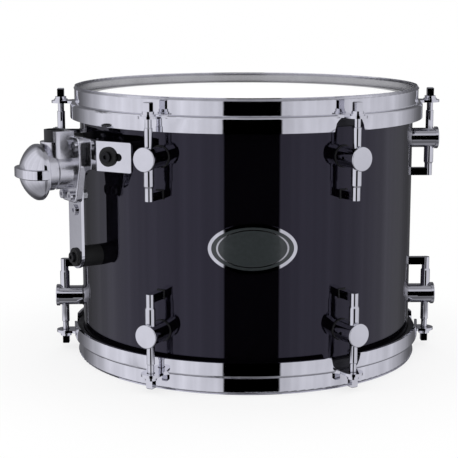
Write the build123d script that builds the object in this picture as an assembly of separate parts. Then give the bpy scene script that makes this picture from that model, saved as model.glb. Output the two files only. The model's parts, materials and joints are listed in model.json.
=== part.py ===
from build123d import *
import os
from math import cos, pi, radians, sin, sqrt, tan

# A rack tom: a round shell with a head, a flanged hoop, six lugs and six tension rods at each end,
# and a rubber-isolated bracket with an arm clamp on its left front side.
# Millimetres. The drum's axis is Z, the lower rim stands on Z = 0 and the badge faces -Y.
# Azimuths are degrees from the front, growing towards +X.

# Shell
SHELL_DIAMETER = 304.8
SHELL_DEPTH = 228.6
SHELL_WALL = 7.5
EDGE_LAND = 0.6             # flat crest of the bearing edge
EDGE_CHAMFER = 1.5          # 45 degree cut outside the crest
RIM_RISE = 9.7              # rim of a hoop beyond the bearing edge

# Hoops, bent from sheet
HOOP_SHEET = 2.3
HOOP_HEIGHT = 28.5
HOOP_SEAT_DEPTH = 17.0      # from the rim to the face that presses on the flesh hoop
HOOP_GAP = 2.3              # between the shell and the hoop's upper wall
HOOP_STEP = 4.0             # the skirt stands this much further out than the upper wall
LIP_REACH = 3.7             # the rim turned out past the upper wall
BEND_RADIUS = 1.6           # at the middle of the sheet
EAR_WIDTH = 17.0
EAR_ROOT_WIDTH = 25.0
EAR_ROOT_LENGTH = 4.5
NOTCH_WIDTH = 25.0          # gap in the skirt under an ear, at its open end
NOTCH_TAPER = 3.0           # the gap is this much narrower each side at the ear

# Heads
FILM = 0.3
FLESH_CLEARANCE = 0.5       # flesh hoop to shell
FLESH_HEIGHT = 8.0
FLESH_WALL = 1.0            # inside the film's groove
FLESH_SIDE_CLEARANCE = 0.4  # flesh hoop to skirt
FLESH_ROUND = 1.0
FILM_GRIP = 3.0             # depth of the film's groove

# Tension rods and their washers
RODS_PER_HEAD = 6
FIRST_ROD_AZIMUTH = 30.0
ROD_DIAMETER = 5.6
ROD_OFFSET = 17.6           # rod axis outside the shell
ROD_COLLAR_DIAMETER = 10.0
ROD_COLLAR_HEIGHT = 2.2
ROD_KEY = 6.0               # across the square head
ROD_KEY_HEIGHT = 7.5
ROD_END_PAST_POST = 16.0
ROD_WASHER_DIAMETER = 12.4
ROD_WASHER = 1.3
ROD_HOLE_CLEARANCE = 0.8    # radial, in ear and washer

# Lugs
LUG_SETBACK = 50.0          # post axis from the drum's end
POST_DIAMETER = 18.0
CAP_DIAMETER = 20.3
CAP_THICKNESS = 3.0
CAP_OFFSET = 25.6           # cap face outside the shell
CAP_ROUND = 0.8
TUBE_DIAMETER = 8.7
TUBE_TOWARDS_HOOP = 25.5
TUBE_TOWARDS_MIDDLE = 35.0
TUBE_ROUND = 0.8
TIP_DIAMETER = 7.0
TIP_LENGTH = 11.0
TIP_CONE = 1.5
FOOT_HEIGHT = 7.0
FOOT_WIDTH = 6.4
SIDE_SLOT_LENGTH = 13.0
SIDE_SLOT_HEIGHT = 2.6
SIDE_SLOT_DEPTH = 1.2
LUG_BORE = 7.0
BORE_FLOOR = 2.0            # above the tube's cone
INSERT_LENGTH = 16.0
THREAD_CLEARANCE = 0.05     # radial, between a plain rod and its plain hole
GASKET = 1.0
GASKET_RIM = 0.6            # gasket beyond the post and the foot
LUG_SCREW_DIAMETER = 5.9
LUG_SCREW_HEAD = 11.0
LUG_SCREW_HEAD_HEIGHT = 4.0
LUG_SCREW_REACH = 11.0      # beyond the shell's outside
SCREW_HOLE_CLEARANCE = 0.4  # radial, in shell, gasket and washer
INNER_WASHER_DIAMETER = 14.0
INNER_WASHER = 1.6

# Bracket plate on three rubber isolators
BRACKET_AZIMUTH = -60.0
BRACKET_SHEET = 2.6
BRACKET_STANDOFF = 19.6     # plate's inner face outside the shell
BRACKET_FLAT_HALF = 44.7    # from the middle to each bend
BRACKET_BEND = 29.2
BRACKET_BEND_RADIUS = 4.0   # outside the bend
ARM_LENGTH = 34.2
ARM_HEIGHT = 25.0
ARM_CORNER = 1.5
LEG_WIDTH = 25.0
LEG_END = 94.5              # height of the leg's round end
TEE_FILLET = 24.0
ISOLATOR_FROM_BEND = 12.0
LEG_ISOLATOR_HEIGHT = 104.5
WINDOW_SIZE = (9.0, 8.0)    # opening in the plate beside each bend
WINDOW_FROM_BEND = 5.6
LEG_SLOT = (3.4, 8.5)
LEG_SLOT_HEIGHT = 146.0
KEYHOLE_SLOT = 6.4
KEYHOLE_REACH = 13.2

# Isolators
NECK_DIAMETER = 12.6
FLANGE_DIAMETER = 16.4
FLANGE = 2.2
STANDOFF_DIAMETER = 18.6
SLEEVE_DIAMETER = 8.0
SLEEVE_BORE = 5.4
BRACKET_SCREW_DIAMETER = 5.0
BRACKET_SCREW_HEAD = 9.0
BRACKET_SCREW_HEAD_HEIGHT = 2.8
BRACKET_NUT_FLATS = 8.0
BRACKET_NUT_HEIGHT = 4.2
SCREW_END_PAST_NUT = 1.0

# Arm clamp
CLAMP_HEIGHT = 181.5        # knob axis above the lower rim
BASE_THICKNESS = 6.0
BASE_TOP = 29.5             # above the knob axis
BASE_BOTTOM = 27.5          # below the knob axis
BASE_HALF_WIDTH = 24.0
BASE_FOOT_HALF_WIDTH = 14.5
BASE_SHOULDER = 5.0         # full width down to this far above the knob axis
BASE_CORNER = 6.0
BASE_EDGE_ROUND = 1.5
BARREL_DIAMETER = 33.0
BARREL_LENGTH = 24.4
BARREL_GROOVE = (1.4, 1.2)  # width, depth
BARREL_GROOVE_AT = 14.0     # from the base
ARM_DIAMETER = 12.7
ARM_CLEARANCE = 0.1         # radial, around the holder's arm
ARM_AXIS_FROM_BASE = 11.9
TOWER_RADIUS = 12.0
TOWER_TOP = 34.5            # above the knob axis
TOWER_FRONT_TOP = 25.5      # the outer half is cut down to this
BUSH_DIAMETER = 17.0
BUSH_BOTTOM = 17.0          # above the knob axis
BUSH_TOP = 35.5
EYE_DIAMETER = 20.6
EYE_THICKNESS = 9.0
EYE_SHAFT_DIAMETER = 8.0
EYE_CLEARANCE = 0.5         # around the eye in its slot
EYE_TRAVEL = 2.5
CLAMP_WASHER_DIAMETER = 28.0
CLAMP_WASHER = 1.2
SHAFT_HOLE_CLEARANCE = 0.5
RECEIVER_SCREW_DIAMETER = 5.0
RECEIVER_SCREW_HEAD = 8.0
RECEIVER_SCREW_HEAD_HEIGHT = 3.0
RECEIVER_NUT_FLATS = 8.0
RECEIVER_NUT_HEIGHT = 4.0
UPPER_SCREW_AT = (18.4, 22.0)   # sideways, and above the knob axis
LOWER_SCREW_AT = (8.0, -21.6)

# Wing knob
KNOB_DIAMETER = 48.0
KNOB_RIM = 4.0
KNOB_LENGTH = 25.0
KNOB_CROWN_DIAMETER = 14.0  # of the lowered dome's flat top
KNOB_CROWN_DROP = 2.0       # below the grip
KNOB_SHOULDER = 0.62        # where the lowered dome's side bulges, as a share of its height
KNOB_GRIP = 8.7
KNOB_HOLE_DEPTH = 17.0

# Badge and vent
BADGE_SIZE = (74.0, 42.0)
BADGE_BASE = 1.0
BADGE_RIM_WIDTH = 2.8
BADGE_RIM_HEIGHT = 1.9
BADGE_INLAY = 0.4
VENT_AZIMUTH = 180.0
VENT_FLANGE_DIAMETER = 18.0
VENT_FLANGE = 1.6
VENT_TUBE_DIAMETER = 11.6
VENT_BORE = 9.0
VENT_HOLE_CLEARANCE = 0.1

# Places that follow from the sizes above
SHELL_R = SHELL_DIAMETER / 2
SHELL_INNER_R = SHELL_R - SHELL_WALL
HEIGHT = SHELL_DEPTH + 2 * RIM_RISE
MIDDLE = HEIGHT / 2
EDGE_Z = HEIGHT - RIM_RISE
CREST_OUTER_R = SHELL_R - EDGE_CHAMFER
CREST_INNER_R = CREST_OUTER_R - EDGE_LAND
SEAT_Z = HEIGHT - HOOP_SEAT_DEPTH
EAR_TOP_Z = SEAT_Z + HOOP_SHEET
WALL_INNER_R = SHELL_R + HOOP_GAP
WALL_OUTER_R = WALL_INNER_R + HOOP_SHEET
SKIRT_OUTER_R = WALL_OUTER_R + HOOP_STEP
SKIRT_INNER_R = SKIRT_OUTER_R - HOOP_SHEET
FLESH_INNER_R = SHELL_R + FLESH_CLEARANCE
FLESH_OUTER_R = SKIRT_INNER_R - FLESH_SIDE_CLEARANCE
GROOVE_R = FLESH_INNER_R + FLESH_WALL
ROD_R = SHELL_R + ROD_OFFSET
POST_Z = HEIGHT - LUG_SETBACK
PAD_R = SHELL_R + GASKET
ROD_SEAT_Z = EAR_TOP_Z + ROD_WASHER
FAR = 2 * SHELL_DIAMETER
ROD_AZIMUTHS = [FIRST_ROD_AZIMUTH + i * 360 / RODS_PER_HEAD for i in range(RODS_PER_HEAD)]

PLATE_INNER_R = SHELL_R + BRACKET_STANDOFF
PLATE_OUTER_R = PLATE_INNER_R + BRACKET_SHEET
ARM_Z = POST_Z
BASE_FRONT = PLATE_OUTER_R + BASE_THICKNESS
BARREL_FRONT = BASE_FRONT + BARREL_LENGTH
ARM_AXIS_R = BASE_FRONT + ARM_AXIS_FROM_BASE
ARM_HOLE = ARM_DIAMETER + 2 * ARM_CLEARANCE
KNOB_BACK = BARREL_FRONT + CLAMP_WASHER
KNOB_TIP = KNOB_BACK + KNOB_LENGTH


def facing(azimuth):
    """The turn that points a piece built towards +X at an azimuth of the drum."""
    return Rot(0, 0, azimuth - 90)


def along_x(diameter, start, end, y=0.0, z=0.0):
    """A round bar along X."""
    return Pos((start + end) / 2, y, z) * Rot(0, 90, 0) * Cylinder(diameter / 2, end - start)


def along_z(diameter, bottom, top, x=0.0, y=0.0):
    """A round bar along Z."""
    return Pos(x, y, (bottom + top) / 2) * Cylinder(diameter / 2, top - bottom)


def block(x, y, z):
    """A box between pairs of limits."""
    return Pos(sum(x) / 2, sum(y) / 2, sum(z) / 2) * Box(x[1] - x[0], y[1] - y[0], z[1] - z[0])


def drum_cylinder(radius):
    """A tall cylinder on the drum's axis, to shape what lies against the shell."""
    return along_z(2 * radius, -FAR, FAR)


def spun(*points):
    """A ring or disc from its outline of (radius, height) points."""
    outline = Polyline(*[(r, 0, z) for r, z in points], close=True)
    return revolve(make_face(outline), Axis.Z)


def hex_nut(flats, height, bore, start, y=0.0, z=0.0):
    """A six-sided nut along X, from start inwards."""
    blank = RegularPolygon(flats / 2, 6, major_radius=False)
    nut = Pos(start, y, z) * Rot(0, -90, 0) * extrude(blank, height)
    return nut - along_x(bore, start - height - 1, start + 1, y, z)


def lower(piece):
    """The piece's counterpart at the other end of the drum."""
    return mirror(piece, about=Plane.XY.offset(MIDDLE))


def save(node, pieces):
    """Writes a node from one solid or a list of them."""
    pieces = pieces if isinstance(pieces, list) else [pieces]
    solids = [solid for piece in pieces for solid in piece.solids()]
    shape = solids[0] if len(solids) == 1 else Compound(children=solids)
    export_step(shape, f"parts/{node}.step")


# ---------------------------------------------------------------- shell and heads


def make_shell():
    bevel = CREST_INNER_R - SHELL_INNER_R
    tube = spun(
        (SHELL_R, RIM_RISE + EDGE_CHAMFER),
        (SHELL_R, EDGE_Z - EDGE_CHAMFER),
        (CREST_OUTER_R, EDGE_Z),
        (CREST_INNER_R, EDGE_Z),
        (SHELL_INNER_R, EDGE_Z - bevel),
        (SHELL_INNER_R, RIM_RISE + bevel),
        (CREST_INNER_R, RIM_RISE),
        (CREST_OUTER_R, RIM_RISE),
    )
    hole = LUG_SCREW_DIAMETER + 2 * SCREW_HOLE_CLEARANCE
    for azimuth in ROD_AZIMUTHS:
        for z in (POST_Z, HEIGHT - POST_Z):
            tube -= facing(azimuth) * along_x(hole, SHELL_INNER_R - 5, SHELL_R + 5, z=z)
    bracket_hole = BRACKET_SCREW_DIAMETER + 2 * SCREW_HOLE_CLEARANCE
    for place in isolator_places():
        drill = place * along_x(bracket_hole, -FAR / 8, 0)
        tube -= facing(BRACKET_AZIMUTH) * drill
    vent_hole = VENT_TUBE_DIAMETER + 2 * VENT_HOLE_CLEARANCE
    tube -= facing(VENT_AZIMUTH) * along_x(vent_hole, SHELL_INNER_R - 5, SHELL_R + 5, z=MIDDLE)
    return tube


def make_film():
    """The film lies flat over the bearing edge, then turns down into the flesh hoop."""
    turn = (FLESH_INNER_R + 0.1, EDGE_Z - 1.2)
    return spun(
        (0, EDGE_Z),
        (CREST_OUTER_R + FILM, EDGE_Z),
        turn,
        (GROOVE_R, SEAT_Z),
        (GROOVE_R, SEAT_Z - FILM_GRIP),
        (GROOVE_R + FILM, SEAT_Z - FILM_GRIP),
        (GROOVE_R + FILM, SEAT_Z),
        (turn[0] + FILM, turn[1] + FILM / 2),
        (CREST_OUTER_R + 1.5 * FILM, EDGE_Z + FILM),
        (0, EDGE_Z + FILM),
    )


def make_flesh_hoop():
    return spun(
        (FLESH_INNER_R, SEAT_Z - FLESH_HEIGHT),
        (FLESH_OUTER_R - FLESH_ROUND, SEAT_Z - FLESH_HEIGHT),
        (FLESH_OUTER_R, SEAT_Z - FLESH_HEIGHT + FLESH_ROUND),
        (FLESH_OUTER_R, SEAT_Z - FLESH_ROUND),
        (FLESH_OUTER_R - FLESH_ROUND / 2, SEAT_Z),
        (GROOVE_R + FILM, SEAT_Z),
        (GROOVE_R + FILM, SEAT_Z - FILM_GRIP),
        (GROOVE_R, SEAT_Z - FILM_GRIP),
        (GROOVE_R, SEAT_Z),
        (FLESH_INNER_R, SEAT_Z),
    )


def make_hoop():
    """Sheet bent into lip, wall, shoulder and skirt, with ears turned out over gaps in the skirt."""
    half = HOOP_SHEET / 2
    middle_line = FilletPolyline(
        (WALL_OUTER_R + LIP_REACH, 0, HEIGHT - half),
        (WALL_INNER_R + half, 0, HEIGHT - half),
        (WALL_INNER_R + half, 0, SEAT_Z + half),
        (SKIRT_INNER_R + half, 0, SEAT_Z + half),
        (SKIRT_INNER_R + half, 0, HEIGHT - HOOP_HEIGHT),
        radius=BEND_RADIUS,
    )
    section = trace(Plane.XZ.to_local_coords(middle_line), HOOP_SHEET)
    hoop = revolve(Plane.XZ * section, Axis.Z)
    for azimuth in ROD_AZIMUTHS:
        hoop -= facing(azimuth) * skirt_notch()
        hoop += facing(azimuth) * ear()
    for azimuth in ROD_AZIMUTHS:
        hole = ROD_DIAMETER + 2 * ROD_HOLE_CLEARANCE
        hoop -= facing(azimuth) * along_z(hole, SEAT_Z - 1, EAR_TOP_Z + 1, x=ROD_R)
    return hoop


def skirt_notch():
    """A tapered gap through the skirt, wider at its open end."""
    wide, narrow = NOTCH_WIDTH / 2, NOTCH_WIDTH / 2 - NOTCH_TAPER
    bottom, top = HEIGHT - HOOP_HEIGHT, SEAT_Z
    face = Polyline((-wide, bottom - 1), (wide, bottom - 1), (narrow, top), (-narrow, top), close=True)
    start = SKIRT_INNER_R - HOOP_SHEET / 2
    notch = extrude(Plane.YZ.offset(start) * make_face(face), 2 * HOOP_SHEET + HOOP_STEP)
    upper = notch.edges().filter_by(Axis.X).group_by(Axis.Z)[-1]
    return fillet(upper, NOTCH_TAPER)


def ear():
    """A flat tongue from the shoulder, with a round end about the rod."""
    wide, narrow = EAR_ROOT_WIDTH / 2, EAR_WIDTH / 2
    root = SKIRT_OUTER_R - HOOP_SHEET
    flare = root + EAR_ROOT_LENGTH
    plan = Polyline(
        (WALL_OUTER_R - 0.5, -wide), (root, -wide), (flare, -narrow), (ROD_R, -narrow),
        (ROD_R, narrow), (flare, narrow), (root, wide), (WALL_OUTER_R - 0.5, wide), close=True,
    )
    tongue = Pos(0, 0, SEAT_Z) * extrude(make_face(plan), HOOP_SHEET)
    return tongue + along_z(EAR_WIDTH, SEAT_Z, EAR_TOP_Z, x=ROD_R)


# ---------------------------------------------------------------- rods and lugs


def make_rod():
    """Square key head, collar and plain shank."""
    collar_top = ROD_SEAT_Z + ROD_COLLAR_HEIGHT
    half = ROD_KEY / 2
    key = block(
        (ROD_R - half, ROD_R + half), (-half, half), (collar_top, collar_top + ROD_KEY_HEIGHT))
    key = chamfer(key.edges().group_by(Axis.Z)[-1], 0.6)
    collar = along_z(ROD_COLLAR_DIAMETER, ROD_SEAT_Z, collar_top, x=ROD_R)
    shank = along_z(ROD_DIAMETER, POST_Z - ROD_END_PAST_POST, ROD_SEAT_Z, x=ROD_R)
    return key + collar + shank


def make_rod_washer():
    hole = ROD_DIAMETER + 2 * ROD_HOLE_CLEARANCE
    washer = along_z(ROD_WASHER_DIAMETER, EAR_TOP_Z, ROD_SEAT_Z, x=ROD_R)
    return washer - along_z(hole, EAR_TOP_Z - 1, ROD_SEAT_Z + 1, x=ROD_R)


def make_lug():
    """A round post with a cap, crossed by the rod's tube, whose far end has a foot on the shell."""
    cap_face = SHELL_R + CAP_OFFSET
    post = along_x(POST_DIAMETER, SHELL_INNER_R, cap_face - CAP_THICKNESS, z=POST_Z)
    cap = along_x(CAP_DIAMETER, cap_face - CAP_THICKNESS, cap_face, z=POST_Z)
    cap = fillet(cap.edges().group_by(Axis.X)[-1], CAP_ROUND)
    top = POST_Z + TUBE_TOWARDS_HOOP
    bottom = POST_Z - TUBE_TOWARDS_MIDDLE
    step = bottom + TIP_LENGTH
    tube = along_z(TUBE_DIAMETER, step + TIP_CONE, top, x=ROD_R)
    tube = fillet(tube.edges().group_by(Axis.Z)[-1], TUBE_ROUND)
    cone = Pos(ROD_R, 0, step + TIP_CONE / 2) * Cone(TIP_DIAMETER / 2, TUBE_DIAMETER / 2, TIP_CONE)
    tip = along_z(TIP_DIAMETER, bottom, step, x=ROD_R)
    foot = block(
        (SHELL_INNER_R, ROD_R), (-FOOT_WIDTH / 2, FOOT_WIDTH / 2), (bottom, bottom + FOOT_HEIGHT))
    lug = post + cap + tube + cone + tip + foot
    lug -= drum_cylinder(PAD_R)
    lug -= along_z(LUG_BORE, step + TIP_CONE + BORE_FLOOR, top + 1, x=ROD_R)
    lug -= along_x(LUG_SCREW_DIAMETER, SHELL_INNER_R, SHELL_R + LUG_SCREW_REACH, z=POST_Z)
    for side in (-1, 1):
        wall = side * POST_DIAMETER / 2
        lug -= block(
            (cap_face - CAP_THICKNESS - SIDE_SLOT_LENGTH, cap_face - CAP_THICKNESS),
            sorted((wall, wall - side * SIDE_SLOT_DEPTH)),
            (POST_Z - SIDE_SLOT_HEIGHT / 2, POST_Z + SIDE_SLOT_HEIGHT / 2),
        )
    return lug


def make_lug_insert():
    low, high = POST_Z - INSERT_LENGTH / 2, POST_Z + INSERT_LENGTH / 2
    sleeve = along_z(LUG_BORE, low, high, x=ROD_R)
    return sleeve - along_z(ROD_DIAMETER + 2 * THREAD_CLEARANCE, low - 1, high + 1, x=ROD_R)


def make_lug_gaskets():
    """Curved pads under the post and the foot."""
    layer = drum_cylinder(PAD_R) - drum_cylinder(SHELL_R)
    hole = LUG_SCREW_DIAMETER + 2 * SCREW_HOLE_CLEARANCE
    post_pad = along_x(POST_DIAMETER + 2 * GASKET_RIM, SHELL_INNER_R, SHELL_R + 5, z=POST_Z)
    post_pad -= along_x(hole, SHELL_INNER_R - 1, SHELL_R + 6, z=POST_Z)
    half = FOOT_WIDTH / 2 + GASKET_RIM
    bottom = POST_Z - TUBE_TOWARDS_MIDDLE
    foot_pad = block(
        (SHELL_INNER_R, SHELL_R + 5), (-half, half),
        (bottom - GASKET_RIM, bottom + FOOT_HEIGHT + GASKET_RIM),
    )
    return [post_pad & layer, foot_pad & layer]


def inner_washer(start, hole):
    """A washer along X whose outer face follows the shell's inside."""
    washer = along_x(INNER_WASHER_DIAMETER, start - INNER_WASHER, start + 3)
    return washer - along_x(hole, start - INNER_WASHER - 1, start + 4)


def make_lug_washer():
    hole = LUG_SCREW_DIAMETER + 2 * SCREW_HOLE_CLEARANCE
    washer = Pos(0, 0, POST_Z) * inner_washer(SHELL_INNER_R, hole)
    return washer & drum_cylinder(SHELL_INNER_R)


def make_lug_screw():
    seat = SHELL_INNER_R - INNER_WASHER
    head = along_x(LUG_SCREW_HEAD, seat - LUG_SCREW_HEAD_HEIGHT, seat, z=POST_Z)
    head = fillet(head.edges().group_by(Axis.X)[0], LUG_SCREW_HEAD_HEIGHT / 2)
    shank = along_x(LUG_SCREW_DIAMETER, seat, SHELL_R + LUG_SCREW_REACH - 1, z=POST_Z)
    return head + shank


# ---------------------------------------------------------------- bracket


def arm_frame(side):
    """The outer face of one arm at its bend: X outwards, Y along the plate, Z up."""
    return Pos(PLATE_OUTER_R, side * BRACKET_FLAT_HALF, ARM_Z) * Rot(0, 0, side * BRACKET_BEND)


def isolator_places():
    """The plate's outer face at each isolator, X outwards: front arm, rear arm and leg."""
    arms = [arm_frame(side) * Pos(0, side * ISOLATOR_FROM_BEND, 0) for side in (1, -1)]
    return [*arms, Pos(PLATE_OUTER_R, 0, LEG_ISOLATOR_HEIGHT)]


def reach_to(place, radius):
    """Distance from a place, straight inwards, to a cylinder about the drum's axis."""
    point = place.position
    turn = radians(place.orientation.Z)
    along = point.X * cos(turn) + point.Y * sin(turn)
    return along - sqrt(along**2 - point.X**2 - point.Y**2 + radius**2)


def bent_strip(bottom, top):
    """Flat middle and two arms bent back round the shell, as tall as the whole plate."""
    bend = radians(BRACKET_BEND)
    turn_in = BRACKET_SHEET * tan(bend / 2)
    outer, inner = [], []
    for side in (-1, 1):
        end = arm_frame(side) * Pos(0, side * ARM_LENGTH, 0)
        back = arm_frame(side) * Pos(-BRACKET_SHEET, side * ARM_LENGTH, 0)
        corner = (PLATE_OUTER_R, side * BRACKET_FLAT_HALF)
        corner_back = (PLATE_INNER_R, side * (BRACKET_FLAT_HALF - turn_in))
        outer += [(end.position.X, end.position.Y), corner][::-side]
        inner += [(back.position.X, back.position.Y), corner_back][::-side]
    plan = make_face(Polyline(*outer, *inner[::-1], close=True))
    strip = Pos(0, 0, bottom) * extrude(plan, top - bottom)
    uprights = strip.edges().filter_by(Axis.Z)
    outside = [e for e in uprights if abs(e.center().X - PLATE_OUTER_R) < 0.01]
    strip = fillet(outside, BRACKET_BEND_RADIUS)
    uprights = strip.edges().filter_by(Axis.Z)
    inside = [e for e in uprights if abs(e.center().X - PLATE_INNER_R) < 0.01]
    return fillet(inside, BRACKET_BEND_RADIUS - BRACKET_SHEET)


def tee_outline():
    """The plate's outline seen from outside: arms across the top of a round-ended leg."""
    arms = Pos(0, ARM_Z) * Rectangle(FAR, ARM_HEIGHT)
    end = LEG_END + LEG_WIDTH / 2
    leg = Pos(0, (ARM_Z + end) / 2) * Rectangle(LEG_WIDTH, ARM_Z - end)
    tee = arms + leg + Pos(0, end) * Circle(LEG_WIDTH / 2)
    inside = [v for v in tee.vertices()
              if abs(abs(v.X) - LEG_WIDTH / 2) < 0.01 and abs(v.Y - ARM_Z + ARM_HEIGHT / 2) < 0.01]
    return fillet(inside, TEE_FILLET)


def make_bracket_plate():
    strip = bent_strip(LEG_END - 1, ARM_Z + ARM_HEIGHT)
    tee = extrude(Plane.YZ.offset(SHELL_INNER_R) * tee_outline(), 2 * BRACKET_STANDOFF)
    plate = strip & tee
    tips = [e for e in plate.edges() if abs(e.center().Y) > BRACKET_FLAT_HALF + ARM_LENGTH / 2
            and abs(e.length - BRACKET_SHEET) < 0.1]
    plate = fillet(tips, ARM_CORNER)
    for place in isolator_places():
        plate -= place * along_x(NECK_DIAMETER, -2 * BRACKET_SHEET, BRACKET_SHEET)
    for side in (-1, 1):
        arm = arm_frame(side)
        start = ISOLATOR_FROM_BEND
        end = start + KEYHOLE_REACH - KEYHOLE_SLOT / 2
        depth = (-2 * BRACKET_SHEET, BRACKET_SHEET)
        high = (-KEYHOLE_SLOT / 2, KEYHOLE_SLOT / 2)
        plate -= arm * block(depth, sorted((side * start, side * end)), high)
        plate -= arm * along_x(KEYHOLE_SLOT, *depth, y=side * end)
        width, height = WINDOW_SIZE
        middle = side * (BRACKET_FLAT_HALF - WINDOW_FROM_BEND)
        plate -= Pos(PLATE_OUTER_R, middle, ARM_Z) * Box(4 * BRACKET_SHEET, width, height)
    plate -= Pos(PLATE_OUTER_R, 0, LEG_SLOT_HEIGHT) * Box(4 * BRACKET_SHEET, *LEG_SLOT)
    for y, z in receiver_screw_places():
        hole = RECEIVER_SCREW_DIAMETER + 2 * SCREW_HOLE_CLEARANCE
        plate -= along_x(hole, PLATE_INNER_R - 1, PLATE_OUTER_R + 1, y, z)
    return plate


def make_isolator(place):
    """Rubber standoff, neck through the plate and flange outside it, on a steel sleeve."""
    reach = reach_to(place, SHELL_R)
    standoff = along_x(STANDOFF_DIAMETER, -reach - 8, -BRACKET_SHEET)
    neck = along_x(NECK_DIAMETER, -BRACKET_SHEET, 0)
    flange = along_x(FLANGE_DIAMETER, 0, FLANGE)
    flange = fillet(flange.edges().group_by(Axis.X)[-1], FLANGE / 3)
    rubber = standoff + neck + flange - along_x(SLEEVE_DIAMETER, -reach - 9, FLANGE + 1)
    return place * rubber - drum_cylinder(SHELL_R)


def make_isolator_sleeve(place):
    reach = reach_to(place, SHELL_R)
    sleeve = along_x(SLEEVE_DIAMETER, -reach - 8, FLANGE)
    sleeve -= along_x(SLEEVE_BORE, -reach - 9, FLANGE + 1)
    return place * sleeve - drum_cylinder(SHELL_R)


def make_isolator_screw(place):
    nut_face = -reach_to(place, SHELL_INNER_R) - INNER_WASHER
    end = nut_face - BRACKET_NUT_HEIGHT - SCREW_END_PAST_NUT
    head = along_x(BRACKET_SCREW_HEAD, FLANGE, FLANGE + BRACKET_SCREW_HEAD_HEIGHT)
    head = fillet(head.edges().group_by(Axis.X)[-1], BRACKET_SCREW_HEAD_HEIGHT / 2)
    return place * (head + along_x(BRACKET_SCREW_DIAMETER, end, FLANGE))


def make_isolator_washer(place):
    hole = BRACKET_SCREW_DIAMETER + 2 * SCREW_HOLE_CLEARANCE
    washer = inner_washer(-reach_to(place, SHELL_INNER_R), hole)
    return place * washer & drum_cylinder(SHELL_INNER_R)


def make_isolator_nut(place):
    face = -reach_to(place, SHELL_INNER_R) - INNER_WASHER
    bore = BRACKET_SCREW_DIAMETER + 2 * THREAD_CLEARANCE
    return place * hex_nut(BRACKET_NUT_FLATS, BRACKET_NUT_HEIGHT, bore, face)


# ---------------------------------------------------------------- arm clamp


def receiver_screw_places():
    return [(side * y, CLAMP_HEIGHT + z) for y, z in (UPPER_SCREW_AT, LOWER_SCREW_AT)
            for side in (-1, 1)]


def make_receiver():
    """Cast base, barrel for the eye bolt and tower for the arm."""
    top, low = CLAMP_HEIGHT + BASE_TOP, CLAMP_HEIGHT - BASE_BOTTOM
    shoulder = CLAMP_HEIGHT + BASE_SHOULDER
    outline = make_face(Polyline(
        (-BASE_HALF_WIDTH, top), (BASE_HALF_WIDTH, top), (BASE_HALF_WIDTH, shoulder),
        (BASE_FOOT_HALF_WIDTH, low), (-BASE_FOOT_HALF_WIDTH, low), (-BASE_HALF_WIDTH, shoulder),
        close=True,
    ))
    outline = fillet(outline.vertices(), BASE_CORNER)
    base = extrude(Plane.YZ.offset(PLATE_OUTER_R) * outline, BASE_THICKNESS)
    base = fillet(base.faces().sort_by(Axis.X)[-1].edges(), BASE_EDGE_ROUND)
    barrel = along_x(BARREL_DIAMETER, BASE_FRONT - 1, BARREL_FRONT, z=CLAMP_HEIGHT)
    tower_top = CLAMP_HEIGHT + TOWER_TOP
    tower = along_z(2 * TOWER_RADIUS, CLAMP_HEIGHT, tower_top, x=ARM_AXIS_R)
    tower += block(
        (BASE_FRONT - 1, ARM_AXIS_R), (-TOWER_RADIUS, TOWER_RADIUS), (CLAMP_HEIGHT, tower_top))
    tower -= block(
        (ARM_AXIS_R, FAR), (-FAR, FAR), (CLAMP_HEIGHT + TOWER_FRONT_TOP, tower_top + 1))
    cast = base + barrel + tower
    groove_width, groove_depth = BARREL_GROOVE
    groove_at = BASE_FRONT + BARREL_GROOVE_AT
    ring = along_x(2 * BARREL_DIAMETER, groove_at, groove_at + groove_width, z=CLAMP_HEIGHT)
    ring -= along_x(
        BARREL_DIAMETER - 2 * groove_depth, groove_at, groove_at + groove_width, z=CLAMP_HEIGHT)
    cast -= ring & block(
        (BASE_FRONT, BARREL_FRONT), (-FAR, FAR), (CLAMP_HEIGHT - FAR, CLAMP_HEIGHT + TOWER_RADIUS))
    cast -= along_z(ARM_HOLE, low - 1, tower_top + 1, x=ARM_AXIS_R)
    cast -= along_z(BUSH_DIAMETER, CLAMP_HEIGHT + BUSH_BOTTOM, tower_top + 1, x=ARM_AXIS_R)
    cast -= eye_slot()
    for y, z in receiver_screw_places():
        hole = RECEIVER_SCREW_DIAMETER + 2 * SCREW_HOLE_CLEARANCE
        cast -= along_x(hole, PLATE_OUTER_R - 1, BASE_FRONT + 1, y, z)
    return cast


def eye_slot():
    """Room for the eye and its travel, open at the barrel's front."""
    half = EYE_DIAMETER / 2 + EYE_CLEARANCE
    back = ARM_AXIS_R - half - EYE_TRAVEL
    high = EYE_THICKNESS / 2 + EYE_CLEARANCE
    return block(
        (back, BARREL_FRONT + 1), (-half, half), (CLAMP_HEIGHT - high, CLAMP_HEIGHT + high))


def make_arm_bush():
    low, high = CLAMP_HEIGHT + BUSH_BOTTOM, CLAMP_HEIGHT + BUSH_TOP
    bush = along_z(BUSH_DIAMETER, low, high, x=ARM_AXIS_R)
    return bush - along_z(ARM_HOLE, low - 1, high + 1, x=ARM_AXIS_R)


def make_eye_bolt():
    low, high = CLAMP_HEIGHT - EYE_THICKNESS / 2, CLAMP_HEIGHT + EYE_THICKNESS / 2
    eye = along_z(EYE_DIAMETER, low, high, x=ARM_AXIS_R)
    end = KNOB_BACK + KNOB_HOLE_DEPTH - 1
    shaft = along_x(EYE_SHAFT_DIAMETER, ARM_AXIS_R, end, z=CLAMP_HEIGHT)
    return eye + shaft - along_z(ARM_HOLE, low - 1, high + 1, x=ARM_AXIS_R)


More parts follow.
